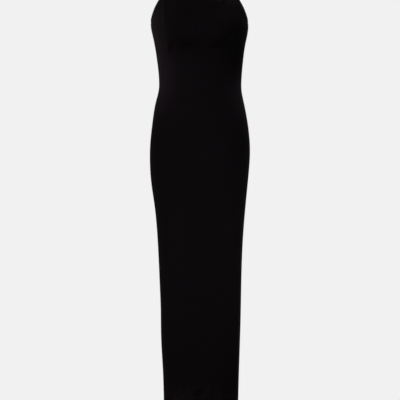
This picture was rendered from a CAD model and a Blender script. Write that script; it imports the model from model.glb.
"""A sleeveless black jersey column dress: its cloth, bands and sewing over the frame, in a pale studio."""

import math

import bpy
import numpy as np
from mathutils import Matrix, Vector


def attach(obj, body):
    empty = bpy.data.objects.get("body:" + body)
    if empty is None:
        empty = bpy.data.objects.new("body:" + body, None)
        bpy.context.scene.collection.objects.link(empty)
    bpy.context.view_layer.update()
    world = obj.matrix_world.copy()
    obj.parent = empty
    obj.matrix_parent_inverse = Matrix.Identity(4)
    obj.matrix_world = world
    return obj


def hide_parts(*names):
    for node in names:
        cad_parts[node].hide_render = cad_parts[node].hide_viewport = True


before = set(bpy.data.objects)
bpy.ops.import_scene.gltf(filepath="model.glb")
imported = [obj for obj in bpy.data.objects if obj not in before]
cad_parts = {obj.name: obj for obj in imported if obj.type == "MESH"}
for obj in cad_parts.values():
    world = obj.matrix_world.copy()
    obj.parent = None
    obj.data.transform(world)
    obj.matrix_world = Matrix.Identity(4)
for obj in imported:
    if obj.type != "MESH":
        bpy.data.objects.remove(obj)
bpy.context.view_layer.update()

# Front and back panels. Each is cut in one from smooth black stretch jersey, and a plain seam joins them down
# each side. They hold the form of a general figure, with soft cups, and fall as a column to a hem turned up
# once and coverstitched. Sizes are in millimetres, made metres when a mesh is built.
MM = 0.001
FRONT, BACK = -1, 1
JERSEY_WALL = 0.9
HEM_WALL = 1.9
# Level sections of the figure, from the neck down: how far below the neckband's middle, half the width, how
# deep in front and behind, how far the middle is to the side and how square the corners are
SECTION_COLUMNS = ("drop", "half_width", "front", "back", "shift", "fullness")
SECTIONS = (
    (14, 59.4, 62.4, 62.4, 0.0, 2.00),
    (50, 87.4, 76.4, 81.4, -1.0, 2.08),
    (90, 120.4, 91.4, 93.4, -2.2, 2.18),
    (128, 139.4, 102.4, 100.4, -2.8, 2.26),
    (160, 149.8, 108.4, 103.4, -2.6, 2.29),
    (186, 151.1, 111.4, 104.4, -2.1, 2.30),
    (210, 152.9, 111.4, 104.4, -1.3, 2.30),
    (241, 148.4, 110.4, 102.4, -0.2, 2.28),
    (279, 140.7, 102.4, 98.4, -0.1, 2.24),
    (317, 135.3, 94.9, 92.4, 0.3, 2.20),
    (383, 129.2, 91.4, 85.4, 0.8, 2.20),
    (413, 130.0, 93.4, 87.4, 0.4, 2.22),
    (449, 137.7, 99.4, 96.4, -0.6, 2.26),
    (506, 148.0, 106.4, 111.4, 0.0, 2.32),
    (600, 156.9, 109.4, 123.4, -0.1, 2.36),
    (650, 155.8, 108.4, 121.4, -1.0, 2.38),
    (695, 152.3, 105.4, 116.4, -1.5, 2.40),
    (770, 143.4, 100.4, 106.4, 0.1, 2.42),
    (884, 133.6, 94.4, 96.4, 0.8, 2.44),
    (1035, 127.4, 89.4, 91.4, 1.8, 2.44),
    (1095, 125.7, 88.4, 90.4, 2.4, 2.43),
    (1186, 123.9, 87.4, 90.4, 1.9, 2.42),
    (1300, 119.0, 85.4, 88.4, 3.0, 2.40),
    (1397, 116.4, 84.4, 87.4, 3.2, 2.40),
)
HEM_DROP = SECTIONS[-1][0]
BAND_HEIGHT = 28.0
BAND_LEAN = math.tan(math.radians(10))
TOP_DROP = BAND_HEIGHT / 2
LEAN_ENDS_DROP = 110.0
UNDERARM_DROP = 197.0
ARMHOLE_STRAIGHT_DROP = 100.0
ARMHOLE_TURN = math.radians(40)
ARMHOLE_RISE_POWER = 1.9
ARMHOLE_SIDE_POWER = 2.1


def smooth_table(column):
    """A natural cubic curve through one column of the sections, as a function of the drop."""
    drops = np.array([row[0] for row in SECTIONS], float)
    values = np.array([row[SECTION_COLUMNS.index(column)] for row in SECTIONS], float)
    steps = np.diff(drops)
    slopes = np.diff(values) / steps
    bend = np.eye(len(drops))
    change = np.zeros(len(drops))
    for k in range(1, len(drops) - 1):
        bend[k, k - 1:k + 2] = steps[k - 1], 2 * (steps[k - 1] + steps[k]), steps[k]
        change[k] = 6 * (slopes[k] - slopes[k - 1])
    second = np.linalg.solve(bend, change)

    def value(drop):
        k = np.clip(np.searchsorted(drops, drop) - 1, 0, len(steps) - 1)
        a = (drops[k + 1] - drop) / steps[k]
        b = (drop - drops[k]) / steps[k]
        curve = (a ** 3 - a) * second[k] + (b ** 3 - b) * second[k + 1]
        return a * values[k] + b * values[k + 1] + curve * steps[k] ** 2 / 6

    return value


half_width, front_depth, back_depth, shift, fullness = (smooth_table(name) for name in SECTION_COLUMNS[1:])


def ease(value, start, end):
    """Rises smoothly from 0 at start to 1 at end."""
    s = np.clip((value - start) / (end - start), 0.0, 1.0)
    return s * s * (3 - 2 * s)


def bell(distance, spread):
    """A soft hump, 1 at no distance."""
    return np.exp(-(distance / spread) ** 2)


# The soft cups, and the shallow hollow down the middle of the skirt, in front and behind
CUP_PROJECTION, CUP_OFFSET, CUP_DROP, CUP_HALF_WIDTH = 20.0, 77.0, 250.0, 56.0
CUP_RISE, CUP_FALL, CUP_BLEND = 110.0, 38.0, 40.0
HOLLOW_DEPTH, HOLLOW_HALF_WIDTH, HOLLOW_STARTS_DROP, HOLLOW_FULL_DROP = 5.0, 34.0, 640.0, 900.0


def figure(side, drop, turn):
    """The smooth form that the cloth is stretched over. The turn runs from the +X seam over the middle to the
    -X one."""
    power = fullness(drop)
    across, out = np.cos(turn), np.sin(turn)
    reach = (np.abs(across) ** power + np.abs(out) ** power) ** (-1 / power)
    x = half_width(drop) * across * reach
    depth = (front_depth(drop) if side == FRONT else back_depth(drop)) * out * reach
    relief = -HOLLOW_DEPTH * ease(drop, HOLLOW_STARTS_DROP, HOLLOW_FULL_DROP) * bell(x, HOLLOW_HALF_WIDTH)
    if side == FRONT:
        fall = CUP_RISE + (CUP_FALL - CUP_RISE) * ease(drop, CUP_DROP - CUP_BLEND, CUP_DROP + CUP_BLEND)
        cups = bell(x - CUP_OFFSET, CUP_HALF_WIDTH) + bell(x + CUP_OFFSET, CUP_HALF_WIDTH)
        relief = relief + CUP_PROJECTION * cups * bell(drop - CUP_DROP, fall)
    y = side * (depth + relief * out)
    lean = BAND_LEAN * y * (1 - ease(drop, TOP_DROP, LEAN_ENDS_DROP))
    return np.stack([x + shift(drop), y, lean - drop], axis=-1)


# Main creases of each panel, in the cloth: where the middle is, how far it runs each way and how wide it is,
# how many degrees it leans from upright and how far it stands up, or in where that is below zero
CREASE_COLUMNS = ("side", "drop", "around", "length", "width", "lean", "rise")
CREASES = (
    (FRONT, 180, 92, 30, 26.0, -8, 3.0),
    (FRONT, 228, 90, 24, 19.0, -6, 2.0),
    (FRONT, 170, -111, 44, 11.0, 2, 3.4),
    (FRONT, 238, -106, 34, 13.0, 6, 1.8),
    (FRONT, 238, -16, 30, 7.0, 16, 1.6),
    (FRONT, 222, -34, 18, 7.0, -46, 1.4),
    (FRONT, 262, 14, 20, 8.0, 24, -1.4),
    (FRONT, 240, 56, 30, 14.0, 8, 3.0),
    (FRONT, 284, -101, 14, 9.0, 6, 2.4),
    (FRONT, 286, -86, 12, 9.0, 6, -2.4),
    (FRONT, 292, -56, 20, 8.0, 88, -0.7),
    (FRONT, 288, 64, 36, 10.0, -86, -2.6),
    (FRONT, 270, 110, 26, 11.0, -38, -5.4),
    (FRONT, 214, 168, 26, 8.0, -48, 1.2),
    (FRONT, 222, -166, 24, 8.0, 50, 1.0),
    (FRONT, 372, -70, 46, 9.0, 76, 0.7),
    (FRONT, 398, 64, 52, 10.0, -80, 0.7),
    (FRONT, 645, -80, 95, 26.0, 2, 2.2),
    (FRONT, 672, 68, 75, 24.0, -3, 2.2),
    (FRONT, 790, -8, 120, 4.0, -1, 1.8),
    (FRONT, 1024, 17, 52, 4.0, 0, 1.4),
    (FRONT, 1118, -6, 34, 4.0, 2, 1.3),
    (FRONT, 1010, -62, 220, 18.0, 1, 1.4),
    (FRONT, 1060, 72, 240, 20.0, -1, 1.4),
    (FRONT, 1170, -34, 140, 12.0, 1, -1.2),
    (FRONT, 905, 44, 160, 14.0, -1, -1.0),
    (FRONT, 1270, 30, 90, 30.0, 2, -2.6),
    (FRONT, 1388, -77, 15, 12.0, 8, 6.0),
    (FRONT, 1341, -48, 13, 8.0, 20, -3.4),
    (FRONT, 1348, -18, 12, 8.0, -25, 4.2),
    (FRONT, 1354, 3, 11, 8.0, -25, -3.6),
    (FRONT, 1366, 24, 14, 9.0, 8, 3.0),
    (FRONT, 1339, 42, 15, 9.0, 0, -2.4),
    (FRONT, 1389, 61, 15, 10.0, -6, 5.6),
    (FRONT, 1385, -33, 18, 9.0, 0, 0.8),
    (FRONT, 1380, 45, 14, 8.0, 4, -1.8),
    (FRONT, 1376, 97, 24, 11.0, 3, 1.6),
    (FRONT, 1380, -105, 24, 10.0, -3, -1.6),
    (BACK, 352, 14, 44, 9.0, 84, 0.7),
    (BACK, 374, -38, 58, 11.0, 78, 1.2),
    (BACK, 396, 34, 56, 12.0, -80, 1.1),
    (BACK, 232, 120, 40, 10.0, -38, 0.8),
    (BACK, 240, -118, 44, 10.0, 36, 0.9),
    (BACK, 728, -58, 62, 13.0, 18, 1.0),
    (BACK, 736, 62, 58, 13.0, -20, 1.1),
    (BACK, 905, 4, 170, 7.0, 1, 1.0),
    (BACK, 1060, -70, 210, 20.0, -1, 0.9),
    (BACK, 1015, 64, 190, 22.0, 1, 0.9),
    (BACK, 1190, 26, 120, 11.0, 0, -0.8),
    (BACK, 1378, -84, 18, 11.0, -3, 2.8),
    (BACK, 1346, -58, 14, 9.0, 12, -2.2),
    (BACK, 1370, -30, 16, 10.0, 5, 2.6),
    (BACK, 1352, 3, 13, 9.0, -14, -2.6),
    (BACK, 1376, 20, 18, 10.0, -4, 2.8),
    (BACK, 1344, 46, 14, 9.0, 0, -2.0),
    (BACK, 1380, 72, 18, 11.0, 4, 2.6),
)
HEM_STITCH_DROPS = (1362.0, 1366.5)
HEM_STITCH_SINK, HEM_STITCH_HALF_WIDTH = 0.25, 1.1
HEM_ROLL, HEM_ROLL_HEIGHT = 0.7, 2.0
SEAM_SINK, SEAM_HALF_WIDTH = 1.0, 2.4
SKIN_LIFT = 0.6


def creases(side, drop, around):
    """How far the creases and the sewing raise the cloth, at places given by their drop and way round."""
    raised = np.zeros_like(drop)
    for row in CREASES:
        crease = dict(zip(CREASE_COLUMNS, row))
        if crease["side"] == side:
            lean = math.radians(crease["lean"])
            down, over = drop - crease["drop"], around - crease["around"]
            along = down * math.cos(lean) + over * math.sin(lean)
            aside = over * math.cos(lean) - down * math.sin(lean)
            fade = np.exp(-(along / crease["length"]) ** 4)
            raised += crease["rise"] * bell(aside, crease["width"]) * fade
    for stitched in HEM_STITCH_DROPS:
        raised -= HEM_STITCH_SINK * bell(drop - stitched, HEM_STITCH_HALF_WIDTH)
    return raised - HEM_ROLL * np.clip((drop - HEM_DROP + HEM_ROLL_HEIGHT) / HEM_ROLL_HEIGHT, 0, 1) ** 2


# The mesh of a panel: its rows and columns, the closer rows round the hem's stitches, and where the rows next
# to those stop, measured from the stitch lines and from the fold
CHEST_ROWS, ARMHOLE_STEPS, MIDDLE_COLUMNS, ROW_STEP = 22, 20, 56, 3.6
SEWN_ROW_STEP, SEWN_ABOVE, SEWN_BELOW = 0.7, 2.5, 3.0
SKIRT_STOPS_ABOVE, HEM_STARTS_BELOW, HEM_STOPS_ABOVE, HEM_ROWS = 3.0, 5.0, 3.0, 8
FOLD_ROWS = (1.6, 0.9, 0.4, 0.0)
NEAR_SEAM_DEGREES = (0, 0.3, 0.65, 1.1, 1.7)


def armhole_curve(steps):
    """Points down the curved part of an armhole's edge: their drops, and their turns from the side seam."""
    fall = np.sin(np.linspace(0, math.pi / 2, steps + 1))
    turn = ARMHOLE_TURN * (1 - fall ** ARMHOLE_RISE_POWER) ** (1 / ARMHOLE_SIDE_POWER)
    return ARMHOLE_STRAIGHT_DROP + (UNDERARM_DROP - ARMHOLE_STRAIGHT_DROP) * fall, turn


def panel_rows():
    """The levels of a panel's rows. Round the foot of the armhole each row starts at a point of its edge."""
    chest = np.linspace(TOP_DROP, ARMHOLE_STRAIGHT_DROP, CHEST_ROWS, endpoint=False)
    foot = armhole_curve(ARMHOLE_STEPS)[0]
    upper_stitches, lower_stitches = HEM_STITCH_DROPS
    skirt = np.arange(UNDERARM_DROP + ROW_STEP, upper_stitches - SKIRT_STOPS_ABOVE, ROW_STEP)
    sewn = np.arange(upper_stitches - SEWN_ABOVE, lower_stitches + SEWN_BELOW, SEWN_ROW_STEP)
    hem = np.linspace(lower_stitches + HEM_STARTS_BELOW, HEM_DROP - HEM_STOPS_ABOVE, HEM_ROWS)
    fold = HEM_DROP - np.array(FOLD_ROWS)
    return np.concatenate([chest, foot, skirt, sewn, hem, fold])


def panel_columns():
    """The turns of a panel's columns from seam to seam, and the row in which each starts."""
    near_seam = np.radians(NEAR_SEAM_DEGREES)
    side = armhole_curve(ARMHOLE_STEPS)[1][-2:0:-1]
    middle = np.linspace(ARMHOLE_TURN, math.pi - ARMHOLE_TURN, MIDDLE_COLUMNS + 1)
    half = np.concatenate([near_seam, side])
    below = np.concatenate([np.zeros(len(near_seam), int), np.arange(1, ARMHOLE_STEPS)])
    starts = CHEST_ROWS + ARMHOLE_STEPS - below
    turns = np.concatenate([half, middle, math.pi - half[::-1]])
    first_rows = np.concatenate([starts, np.zeros(len(middle), int), starts[::-1]])
    return turns, first_rows


DROPS = panel_rows()
TURNS, FIRST_ROWS = panel_columns()
DROP_NUDGE, TURN_NUDGE = 0.25, 0.0025


def draped(side):
    """A panel's outer face: its grid of points, its outward normals and how far round each point is."""
    drop, turn = np.meshgrid(DROPS, TURNS, indexing="ij")
    base = figure(side, drop, turn)
    stride = np.linalg.norm(np.diff(base, axis=1), axis=2)
    around = np.concatenate([np.zeros((len(DROPS), 1)), np.cumsum(stride, axis=1)], axis=1)
    to_seam = np.minimum(around, around[:, -1:] - around)
    around = around[:, -1:] / 2 - around
    down = figure(side, drop + DROP_NUDGE, turn) - figure(side, drop - DROP_NUDGE, turn)
    over = figure(side, drop, turn + TURN_NUDGE) - figure(side, drop, turn - TURN_NUDGE)
    normals = np.cross(down, over) * side
    normals[:, [0, -1], 1] = 0
    normals /= np.linalg.norm(normals, axis=2, keepdims=True)
    relief = SKIN_LIFT + creases(side, drop, around) - SEAM_SINK * bell(to_seam, SEAM_HALF_WIDTH)
    return base + normals * relief[..., None], normals, around


def cloth_mesh(name, outer, inner, faces, cloth_places, rub):
    """A closed wall between two like sets of points, with a rim along the free edges. Its UV map is in metres
    of cloth, and its rub attribute says where folds and edges are worn."""
    count = len(outer)
    directed = {(a, b) for face in faces for a, b in zip(face, face[1:] + face[:1])}
    rims = [(b, a, a + count, b + count) for a, b in directed if (b, a) not in directed]
    inside = [tuple(k + count for k in reversed(face)) for face in faces]
    mesh = bpy.data.meshes.new(name)
    mesh.from_pydata(np.concatenate([outer, inner]) * MM, [], faces + inside + sorted(rims))
    corners = np.zeros(len(mesh.loops), int)
    mesh.loops.foreach_get("vertex_index", corners)
    flat = np.concatenate([cloth_places, cloth_places]) * MM
    mesh.uv_layers.new(name="cloth").data.foreach_set("uv", flat[corners].astype(np.float32).ravel())
    worn = mesh.attributes.new("rub", "FLOAT", "POINT")
    worn.data.foreach_set("value", np.concatenate([rub, rub]).astype(np.float32))
    mesh.shade_smooth()
    mesh.update()
    piece = bpy.data.objects.new(name, mesh)
    bpy.context.scene.collection.objects.link(piece)
    return piece


class Tone:
    """A value that varies over the cloth. Arithmetic on it adds Math nodes, and node() adds any other."""

    def __init__(self, tree, socket):
        self.tree = tree
        self.socket = socket

    def node(self, kind, settings, inputs, output=0):
        added = self.tree.nodes.new(kind)
        for key, setting in settings.items():
            setattr(added, key, setting)
        for key, given in inputs.items():
            if isinstance(given, Tone):
                self.tree.links.new(given.socket, added.inputs[key])
            else:
                added.inputs[key].default_value = given
        return Tone(self.tree, added.outputs[output])

    def math(self, operation, first, second):
        return self.node("ShaderNodeMath", {"operation": operation}, {0: first, 1: second})

    def __add__(self, other):
        return self.math("ADD", self, other)

    def __radd__(self, other):
        return self.math("ADD", other, self)

    def __sub__(self, other):
        return self.math("SUBTRACT", self, other)

    def __rsub__(self, other):
        return self.math("SUBTRACT", other, self)

    def __mul__(self, other):
        return self.math("MULTIPLY", self, other)

    def __rmul__(self, other):
        return self.math("MULTIPLY", other, self)


JERSEY_DEEP = (0.0034, 0.0027, 0.0030, 1.0)
JERSEY_PALE = (0.0060, 0.0048, 0.0054, 1.0)
JERSEY_WORN = (0.0120, 0.0100, 0.0112, 1.0)
# The knit's sizes in metres, and how far apart a wave texture's bands are at a scale of 1
WALE_PITCH = 0.0011
COURSE_PITCH = 0.0009
KNIT_DEPTH = 0.00012
WAVE_SPACING = 0.314


def jersey(name, roughness, sheen):
    """Fine black jersey: upright wales crossed by courses, a faint cloudiness in the dye and a matt sheen."""
    material = bpy.data.materials.new(name)
    material.use_nodes = True
    tree = material.node_tree
    shader = tree.nodes["Principled BSDF"]
    start = Tone(tree, None)
    cloth = start.node("ShaderNodeUVMap", {"uv_map": "cloth"}, {})
    place = start.node("ShaderNodeTexCoord", {}, {}, "Object")
    rub = start.node("ShaderNodeAttribute", {"attribute_name": "rub"}, {}, "Fac")
    across = {"wave_type": "BANDS", "bands_direction": "X", "wave_profile": "SIN"}
    wales = start.node("ShaderNodeTexWave", across, {
        "Vector": cloth, "Scale": WAVE_SPACING / WALE_PITCH, "Distortion": 0.5, "Detail": 1.0}, "Fac")
    upward = {"wave_type": "BANDS", "bands_direction": "Y", "wave_profile": "SIN"}
    courses = start.node("ShaderNodeTexWave", upward, {
        "Vector": cloth, "Scale": WAVE_SPACING / COURSE_PITCH, "Distortion": 0.8, "Detail": 1.0}, "Fac")
    clouds = start.node("ShaderNodeTexNoise", {}, {"Vector": place, "Scale": 9.0, "Detail": 4.0}, "Fac")
    slubs = start.node("ShaderNodeTexNoise", {}, {"Vector": cloth, "Scale": 420.0, "Detail": 3.0}, "Fac")
    knit = wales * 0.65 + courses * 0.35
    dye = clouds * 0.7 + knit * 0.15 + slubs * 0.15
    mix = {"data_type": "RGBA"}
    dyed = start.node("ShaderNodeMix", mix, {0: dye, 6: JERSEY_DEEP, 7: JERSEY_PALE}, 2)
    colour = start.node("ShaderNodeMix", mix, {0: rub * 0.8, 6: dyed, 7: JERSEY_WORN}, 2)
    tree.links.new(colour.socket, shader.inputs["Base Color"])
    rough = roughness + clouds * 0.10 - knit * 0.05
    tree.links.new(rough.socket, shader.inputs["Roughness"])
    height = knit * 0.6 + slubs * 0.4
    bump = start.node("ShaderNodeBump", {}, {"Height": height, "Strength": 0.35, "Distance": KNIT_DEPTH})
    tree.links.new(bump.socket, shader.inputs["Normal"])
    shader.inputs["Specular IOR Level"].default_value = 0.07
    shader.inputs["Sheen Weight"].default_value = sheen
    shader.inputs["Sheen Roughness"].default_value = 0.45
    shader.inputs["Sheen Tint"].default_value = (1.0, 0.88, 0.96, 1.0)
    return material


HEM_RUB_WIDTH = 3.0
SEAM_RUB, SEAM_RUB_WIDTH = 0.5, 1.6


def panel(name, side, node, material):
    """One panel, replacing its solid."""
    points, normals, around = draped(side)
    rows, columns = len(DROPS), len(TURNS)
    index = -np.ones((rows, columns), int)
    kept = np.arange(rows)[:, None] >= FIRST_ROWS[None, :]
    index[kept] = np.arange(kept.sum())
    faces = []
    for i in range(rows - 1):
        for j in range(columns - 1):
            corners = (index[i, j], index[i, j + 1], index[i + 1, j + 1], index[i + 1, j])
            face = tuple(int(k) for k in corners if k >= 0)
            if len(face) >= 3:
                faces.append(face if side == FRONT else face[::-1])
    wall = np.where(DROPS > HEM_STITCH_DROPS[1], HEM_WALL, JERSEY_WALL)[:, None, None]
    inner = points - normals * wall
    places = np.stack([around, np.broadcast_to(-DROPS[:, None], around.shape)], axis=-1)
    to_seam = np.minimum(np.abs(around - around[:, :1]), np.abs(around - around[:, -1:]))
    hem_rub = bell(DROPS - HEM_DROP, HEM_RUB_WIDTH)[:, None]
    rub = np.maximum(hem_rub, SEAM_RUB * bell(to_seam, SEAM_RUB_WIDTH))
    piece = cloth_mesh(name, points[kept], inner[kept], faces, places[kept], rub[kept])
    piece.data.materials.append(material)
    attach(piece, "root")
    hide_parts(node)
    return piece


cloth_jersey = jersey("black_jersey", roughness=0.72, sheen=0.045)
front_cloth = panel("front_cloth", FRONT, "front_panel", cloth_jersey)
back_cloth = panel("back_cloth", BACK, "back_panel", cloth_jersey)

# Neckband. A strip of the same jersey, folded along its top edge and sewn as a ring over the raw neckline. It
# stands up round the neck, leaning forward with it. Its ends meet in a small seam at the middle of the back.
BAND_WALL = 2.8
BAND_OVERLAP = 1.5
BAND_SINK = 0.35
BAND_PROFILE_STEPS = 14
BAND_STATIONS = 192
EDGE_SOFTNESS = 1.1
BAND_RUB, BAND_RUB_WIDTH = 0.8, 1.4
JOIN_TURN, JOIN_SINK, JOIN_HALF_WIDTH = 1.5 * math.pi, 0.9, 1.8
# Puckers round the band's face: how high they are, how many there are and where they start
BAND_PUCKERS = ((0.18, 23, 0.0), (0.12, 37, 1.3))
band_jersey = jersey("black_band_jersey", roughness=0.68, sheen=0.06)


def folded_profile(width, wall, steps):
    """A folded strip's outer face from edge to edge: how far across, and how high, soft at both edges."""
    part = np.linspace(0, 1, steps + 1)
    across = width * (1 - np.cos(math.pi * part)) / 2
    soft = np.minimum(across, width - across) / (wall * EDGE_SOFTNESS)
    return across, wall / 2 * np.sqrt(1 - np.clip(1 - soft, 0, 1) ** 2)


def strip_faces(stations, across, ring):
    """Faces over a strip's outer side, from how many points lie along it and across it."""
    faces = []
    for i in range(stations if ring else stations - 1):
        here, there = i * across, (i + 1) % stations * across
        faces += [(here + j, here + j + 1, there + j + 1, there + j) for j in range(across - 1)]
    return faces


angle = np.linspace(0, 2 * math.pi, BAND_STATIONS, endpoint=False)
ring_half_width, ring_depth = half_width(TOP_DROP), front_depth(TOP_DROP)
ring_x, ring_y = ring_half_width * np.cos(angle), -ring_depth * np.sin(angle)
foot = np.stack([ring_x, ring_y, BAND_LEAN * ring_y - BAND_HEIGHT / 2 - BAND_OVERLAP], axis=-1)
outward = np.stack([ring_x / ring_half_width ** 2, ring_y / ring_depth ** 2, 0 * ring_x], axis=-1)
outward /= np.linalg.norm(outward, axis=1, keepdims=True)
band_across, band_height = folded_profile(BAND_HEIGHT + BAND_OVERLAP, BAND_WALL, BAND_PROFILE_STEPS)
from_join = np.abs((angle - JOIN_TURN + math.pi) % (2 * math.pi) - math.pi) * ring_half_width
pucker = sum(height * np.sin(angle * number + start) for height, number, start in BAND_PUCKERS)
pucker = pucker - JOIN_SINK * bell(from_join, JOIN_HALF_WIDTH)
lift = band_height[None, :] + pucker[:, None] * np.sin(math.pi * band_across / band_across[-1])[None, :]
rise_up = np.array([0.0, 0.0, 1.0]) * band_across[None, :, None]
middle = foot[:, None, :] + rise_up - outward[:, None, :] * BAND_SINK
outer = middle + outward[:, None, :] * lift[..., None]
inner = middle - outward[:, None, :] * band_height[None, :, None]
places = np.stack(np.meshgrid(angle * ring_half_width, band_across, indexing="ij"), axis=-1)
fold_rub = np.broadcast_to(BAND_RUB * bell(band_across - band_across[-1], BAND_RUB_WIDTH), lift.shape)
band_faces = strip_faces(BAND_STATIONS, BAND_PROFILE_STEPS + 1, ring=True)
neckband = cloth_mesh("neckband_cloth", outer.reshape(-1, 3), inner.reshape(-1, 3), band_faces,
                      places.reshape(-1, 2), fold_rub.ravel())
neckband.data.materials.append(band_jersey)
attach(neckband, "root")
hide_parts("neckband")

# Armhole bindings. A narrow strip of the jersey is folded over each raw armhole edge and coverstitched down.
# It runs from the neckband's front, under the arm and up to its back.
BINDING_WIDTH = 9.3
BINDING_WALL = 2.6
BINDING_OVERLAP = 1.5
BINDING_SINK = 0.15
BINDING_PROFILE_STEPS = 10
BINDING_RUB, BINDING_RUB_WIDTH = 0.7, 1.2
BINDING_CUT_SHARE = 0.95
EDGE_TURN_NUDGE = 0.01
# Ripples along a binding's face: how high they are, how long and where they start
BINDING_RIPPLES = ((0.16, 3.1, 0.0), (0.10, 5.3, 0.8))


def armhole_edge(mirror):
    """Points, normals and ways out of the cloth along an armhole, down its front and up its back."""
    curve_drops, curve_turns = armhole_curve(2 * ARMHOLE_STEPS)
    drop = np.concatenate([DROPS[:CHEST_ROWS], curve_drops])
    turn = np.concatenate([np.full(CHEST_ROWS, ARMHOLE_TURN), curve_turns])
    flip = -1 if mirror else 1
    if mirror:
        turn = math.pi - turn
    lines = []
    for side in (FRONT, BACK):
        point = figure(side, drop, turn)
        over = figure(side, drop, turn + flip * EDGE_TURN_NUDGE) - point
        down = figure(side, drop + DROP_NUDGE, turn) - figure(side, drop - DROP_NUDGE, turn)
        normal = np.cross(down, over) * side * flip
        normal[-1, 1] = 0
        normal /= np.linalg.norm(normal, axis=1, keepdims=True)
        way_out = -over / np.linalg.norm(over, axis=1, keepdims=True)
        lines.append((point, normal, way_out))
    (p0, n0, w0), (p1, n1, w1) = lines
    w0[-1] = (0, 0, 1)
    return (np.concatenate([first, second[-2::-1]]) for first, second in ((p0, p1), (n0, n1), (w0, w1)))


def binding_frame(mirror):
    """An armhole's edge: points, normals, the way across the binding and how far along each point is."""
    point, normal, way_out = armhole_edge(mirror)
    along = np.gradient(point, axis=0)
    across = np.cross(normal, along)
    across /= np.linalg.norm(across, axis=1, keepdims=True)
    across *= np.sign((across * way_out).sum(axis=1))[:, None]
    for end in (0, -1):
        across[end] = way_out[end] / (way_out[end] @ across[end])
    distance = np.concatenate([[0], np.cumsum(np.linalg.norm(np.diff(point, axis=0), axis=1))])
    return point, normal, across, distance


def armhole_binding(name, node, mirror):
    """One binding, replacing its solid and declared as the strip it was cut from."""
    point, normal, across, distance = binding_frame(mirror)
    way, height = folded_profile(BINDING_WIDTH + BINDING_OVERLAP, BINDING_WALL, BINDING_PROFILE_STEPS)
    ripple = sum(rise * np.sin(distance / length + start) for rise, length, start in BINDING_RIPPLES)
    lift = height[None, :] + ripple[:, None] * np.sin(math.pi * way / way[-1])[None, :]
    middle = point[:, None, :] + across[:, None, :] * (way - BINDING_OVERLAP)[None, :, None]
    middle = middle - normal[:, None, :] * BINDING_SINK
    outer = middle + normal[:, None, :] * lift[..., None]
    inner = middle - normal[:, None, :] * height[None, :, None]
    places = np.stack(np.meshgrid(distance, way, indexing="ij"), axis=-1)
    rub = np.broadcast_to(BINDING_RUB * bell(way - way[-1], BINDING_RUB_WIDTH), lift.shape)
    faces = strip_faces(len(point), len(way), ring=False)
    if not mirror:
        faces = [face[::-1] for face in faces]
    piece = cloth_mesh(name, outer.reshape(-1, 3), inner.reshape(-1, 3), faces,
                       places.reshape(-1, 2), rub.ravel())
    piece.data.materials.append(band_jersey)
    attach(piece, "root")
    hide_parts(node)
    cut_length = distance[-1] * MM * BINDING_CUT_SHARE
    return piece


armhole_binding("binding_left_cloth", "armhole_binding_left", mirror=False)
armhole_binding("binding_right_cloth", "armhole_binding_right", mirror=True)

# Sewing. Twin rows of black coverstitch hold the hem, and one row each holds the neckband and the bindings.
# Every stitch is a short raised thread that sinks into the cloth at both ends.
STITCH_PITCH = 3.2
STITCH_LENGTH = 2.5
THREAD = 0.42
HEM_THREAD_LIFT, BAND_THREAD_LIFT = 0.3, 0.1
BAND_STITCH_HEIGHT = 1.9
BINDING_STITCH_INSET = 0.9
THREAD_DEEP = (0.010, 0.009, 0.0095, 1.0)
THREAD_PALE = (0.020, 0.018, 0.019, 1.0)
TWIST_DEPTH = 0.00005


def thread_finish():
    """Spun polyester thread, a little shinier than the jersey, with its twist as fine slanting ridges."""
    material = bpy.data.materials.new("black_thread")
    material.use_nodes = True
    tree = material.node_tree
    shader = tree.nodes["Principled BSDF"]
    start = Tone(tree, None)
    place = start.node("ShaderNodeTexCoord", {}, {}, "Object")
    twist = start.node("ShaderNodeTexWave", {"wave_type": "BANDS", "bands_direction": "DIAGONAL"},
                       {"Vector": place, "Scale": 900.0, "Distortion": 0.6}, "Fac")
    colour = start.node("ShaderNodeMix", {"data_type": "RGBA"},
                        {0: twist * 0.6, 6: THREAD_DEEP, 7: THREAD_PALE}, 2)
    tree.links.new(colour.socket, shader.inputs["Base Color"])
    rough = 0.52 + twist * 0.12
    tree.links.new(rough.socket, shader.inputs["Roughness"])
    bump = start.node("ShaderNodeBump", {}, {"Height": twist, "Strength": 0.3, "Distance": TWIST_DEPTH})
    tree.links.new(bump.socket, shader.inputs["Normal"])
    shader.inputs["Specular IOR Level"].default_value = 0.25
    return material


def stitched_rows():
    """Every stitch line, as points on the cloth and whether the line closes on itself."""
    rows = []
    halves = [draped(side) for side in (FRONT, BACK)]
    for stitched in HEM_STITCH_DROPS:
        near = np.argmin(np.abs(DROPS - stitched))
        front_half, back_half = (points[near] + normals[near] * THREAD * HEM_THREAD_LIFT
                                 for points, normals, _ in halves)
        rows.append((np.concatenate([front_half, back_half[-2:0:-1]]), True))
    band_face = BAND_WALL / 2 - BAND_SINK + THREAD * BAND_THREAD_LIFT
    rows.append((foot + np.array([0, 0, BAND_STITCH_HEIGHT]) + outward * band_face, True))
    binding_face = BINDING_WALL / 2 - BINDING_SINK + THREAD * BAND_THREAD_LIFT
    for mirror in (False, True):
        point, normal, across, _ = binding_frame(mirror)
        rows.append((point + across * BINDING_STITCH_INSET + normal * binding_face, False))
    return rows


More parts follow.
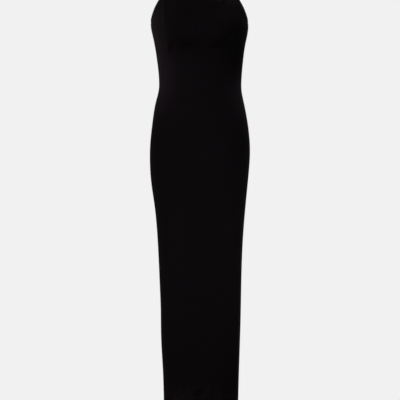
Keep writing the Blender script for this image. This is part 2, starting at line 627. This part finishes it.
def stitch_tree(material):
    """Geometry nodes that lay a thread along each stitch line at every pitch."""
    tree = bpy.data.node_groups.new("stitch_lines", "GeometryNodeTree")
    tree.interface.new_socket("Geometry", in_out="INPUT", socket_type="NodeSocketGeometry")
    for label, value in (("Pitch", STITCH_PITCH), ("Length", STITCH_LENGTH), ("Thread", THREAD)):
        socket = tree.interface.new_socket(label, in_out="INPUT", socket_type="NodeSocketFloat")
        socket.default_value = value * MM
    tree.interface.new_socket("Geometry", in_out="OUTPUT", socket_type="NodeSocketGeometry")
    given = tree.nodes.new("NodeGroupInput")
    lines = tree.nodes.new("GeometryNodeMeshToCurve")
    places = tree.nodes.new("GeometryNodeCurveToPoints")
    places.mode = "LENGTH"
    thread = tree.nodes.new("GeometryNodeMeshUVSphere")
    thread.inputs["Segments"].default_value = 7
    thread.inputs["Rings"].default_value = 5
    thread.inputs["Radius"].default_value = 0.5
    shape = tree.nodes.new("ShaderNodeCombineXYZ")
    lay = tree.nodes.new("GeometryNodeInstanceOnPoints")
    real = tree.nodes.new("GeometryNodeRealizeInstances")
    finish = tree.nodes.new("GeometryNodeSetMaterial")
    finish.inputs["Material"].default_value = material
    result = tree.nodes.new("NodeGroupOutput")
    link = tree.links.new
    link(given.outputs["Geometry"], lines.inputs["Mesh"])
    link(lines.outputs["Curve"], places.inputs["Curve"])
    link(given.outputs["Pitch"], places.inputs["Length"])
    link(given.outputs["Thread"], shape.inputs["X"])
    link(given.outputs["Thread"], shape.inputs["Y"])
    link(given.outputs["Length"], shape.inputs["Z"])
    link(places.outputs["Points"], lay.inputs["Points"])
    link(places.outputs["Rotation"], lay.inputs["Rotation"])
    link(thread.outputs["Mesh"], lay.inputs["Instance"])
    link(shape.outputs["Vector"], lay.inputs["Scale"])
    link(lay.outputs["Instances"], real.inputs["Geometry"])
    link(real.outputs["Geometry"], finish.inputs["Geometry"])
    link(finish.outputs["Geometry"], result.inputs["Geometry"])
    return tree


line_points, line_edges = [], []
for line, closed in stitched_rows():
    first = len(line_points)
    line_points += [tuple(point * MM) for point in line]
    line_edges += [(k, k + 1) for k in range(first, len(line_points) - 1)]
    if closed:
        line_edges.append((len(line_points) - 1, first))
lines_mesh = bpy.data.meshes.new("stitch_lines")
lines_mesh.from_pydata(line_points, line_edges, [])
lines_object = bpy.data.objects.new("stitch_lines", lines_mesh)
bpy.context.scene.collection.objects.link(lines_object)
thread_black = thread_finish()
sewing_rule = lines_object.modifiers.new("stitches", "NODES")
sewing_rule.node_group = stitch_tree(thread_black)
evaluated = lines_object.evaluated_get(bpy.context.evaluated_depsgraph_get())
stitch_mesh = bpy.data.meshes.new_from_object(evaluated)
bpy.data.objects.remove(lines_object)
stitch_mesh.shade_smooth()
stitches = bpy.data.objects.new("stitches", stitch_mesh)
bpy.context.scene.collection.objects.link(stitches)
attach(stitches, "root")

# Studio. A wide pale floor runs out to a pale backdrop of the same tone. Narrow soft lights draw the sheen
# down the left of the cloth and touch its right side and its hem. Broad dim ones light the front and the
# back. Sizes are in metres from here on.
PALE = (0.8796, 0.8796, 0.8796, 1.0)
FLOOR_HEIGHT = -1.475
FLOOR_REACH = 60.0

floor_mesh = bpy.data.meshes.new("floor")
floor_ways = ((-1, -1), (1, -1), (1, 1), (-1, 1))
floor_corners = [(FLOOR_REACH * x, FLOOR_REACH * y, FLOOR_HEIGHT) for x, y in floor_ways]
floor_mesh.from_pydata(floor_corners, [], [(0, 1, 2, 3)])
floor = bpy.data.objects.new("floor", floor_mesh)
bpy.context.scene.collection.objects.link(floor)
floor.visible_diffuse = False
floor.visible_glossy = False
paper = bpy.data.materials.new("pale_paper")
paper.use_nodes = True
paper_shader = paper.node_tree.nodes["Principled BSDF"]
paper_shader.inputs["Base Color"].default_value = (0.0, 0.0, 0.0, 1.0)
paper_shader.inputs["Specular IOR Level"].default_value = 0.0
paper_shader.inputs["Emission Color"].default_value = PALE
paper_shader.inputs["Emission Strength"].default_value = 1.0
floor_mesh.materials.append(paper)

AMBIENT = 0.062
world = bpy.data.worlds.new("studio")
bpy.context.scene.world = world
world.use_nodes = True
sky = world.node_tree
room = sky.nodes["Background"]
room.inputs["Color"].default_value = PALE
seen = sky.nodes.new("ShaderNodeLightPath")
level = sky.nodes.new("ShaderNodeMapRange")
level.inputs["To Min"].default_value = AMBIENT
level.inputs["To Max"].default_value = 1.0
sky.links.new(seen.outputs["Is Camera Ray"], level.inputs["Value"])
sky.links.new(level.outputs["Result"], room.inputs["Strength"])

# Each light's name, place, aim, size, spread in degrees, power and tint
SOFT_TINT, ROSE_TINT = (1.0, 0.90, 1.0), (1.0, 0.70, 0.98)
SOFT_LIGHTS = (
    ("left_upper", (-1.25, 0.25, -0.16), (-0.13, 0.0, -0.19), (0.08, 0.10), 13, 0.0240, (1.0, 0.86, 0.94)),
    ("left_flank", (-1.25, -0.15, -0.37), (-0.12, 0.0, -0.37), (0.10, 0.16), 16, 0.0468, ROSE_TINT),
    ("left_flank_back", (-1.25, 0.15, -0.37), (-0.12, 0.0, -0.37), (0.10, 0.16), 16, 0.0205, ROSE_TINT),
    ("left_side", (-1.9, -0.3, -0.95), (-0.1, 0.0, -0.95), (0.3, 0.3), 36, 0.0189, SOFT_TINT),
    ("left_low", (-1.9, -1.6, -1.0), (0.0, 0.0, -1.0), (0.4, 0.4), 34, 0.263, SOFT_TINT),
    ("right_flank", (1.1, 0.10, -0.30), (0.12, 0.0, -0.45), (0.08, 0.08), 14, 0.0180, (1.0, 0.78, 1.0)),
    ("right_top", (0.9, -0.9, -0.10), (0.102, -0.08, -0.160), (0.08, 0.08), 7, 0.0090, SOFT_TINT),
    ("right_side", (1.9, -0.3, -0.95), (0.1, 0.0, -0.95), (0.3, 0.3), 36, 0.194, SOFT_TINT),
    ("front_soft", (0.25, -1.7, -0.60), (0.0, 0.0, -0.60), (1.0, 1.0), 180, 6.86, SOFT_TINT),
    ("high_soft", (-0.7, -2.5, 2.2), (0.0, 0.0, -0.60), (0.5, 0.5), 180, 0.98, SOFT_TINT),
    ("high_left", (-2.2, -2.0, 1.8), (0.0, 0.0, -0.60), (0.5, 0.5), 180, 21.3, SOFT_TINT),
    ("hem_soft", (-1.1, -0.6, -1.0), (-0.01, -0.085, -1.395), (0.05, 0.05), 7, 0.0062, SOFT_TINT),
    ("back_soft", (0.5, 3.2, 0.6), (0.0, 0.0, -0.70), (1.2, 1.2), 180, 60.0, SOFT_TINT),
)
for name, place, target, size, spread, power, colour in SOFT_LIGHTS:
    lamp = bpy.data.lights.new(name, "AREA")
    lamp.shape = "RECTANGLE"
    lamp.size, lamp.size_y = size
    lamp.spread = math.radians(spread)
    lamp.energy = power
    lamp.color = colour
    holder = bpy.data.objects.new(name, lamp)
    bpy.context.scene.collection.objects.link(holder)
    holder.location = place
    holder.rotation_euler = (Vector(target) - Vector(place)).to_track_quat("-Z", "Y").to_euler()
    holder.visible_camera = False

# Camera. It looks level at the middle of the dress from straight in front, framed as in the photograph: the
# picture's height spans 1.26 m of the dress, from above the bust to just above the hem.
CAMERA_DISTANCE = 4.2
CAMERA_HEIGHT = -0.758
PICTURE_SPAN = 1.26
SENSOR_WIDTH = 36.0
camera = bpy.data.objects.new("camera", bpy.data.cameras.new("camera"))
bpy.context.scene.collection.objects.link(camera)
camera.location = (0.0, -CAMERA_DISTANCE, CAMERA_HEIGHT)
camera.rotation_euler = (math.pi / 2, 0.0, 0.0)
camera.data.sensor_width = SENSOR_WIDTH
camera.data.lens = SENSOR_WIDTH * CAMERA_DISTANCE / PICTURE_SPAN
bpy.context.scene.camera = camera
bpy.context.scene.view_settings.view_transform = "Standard"
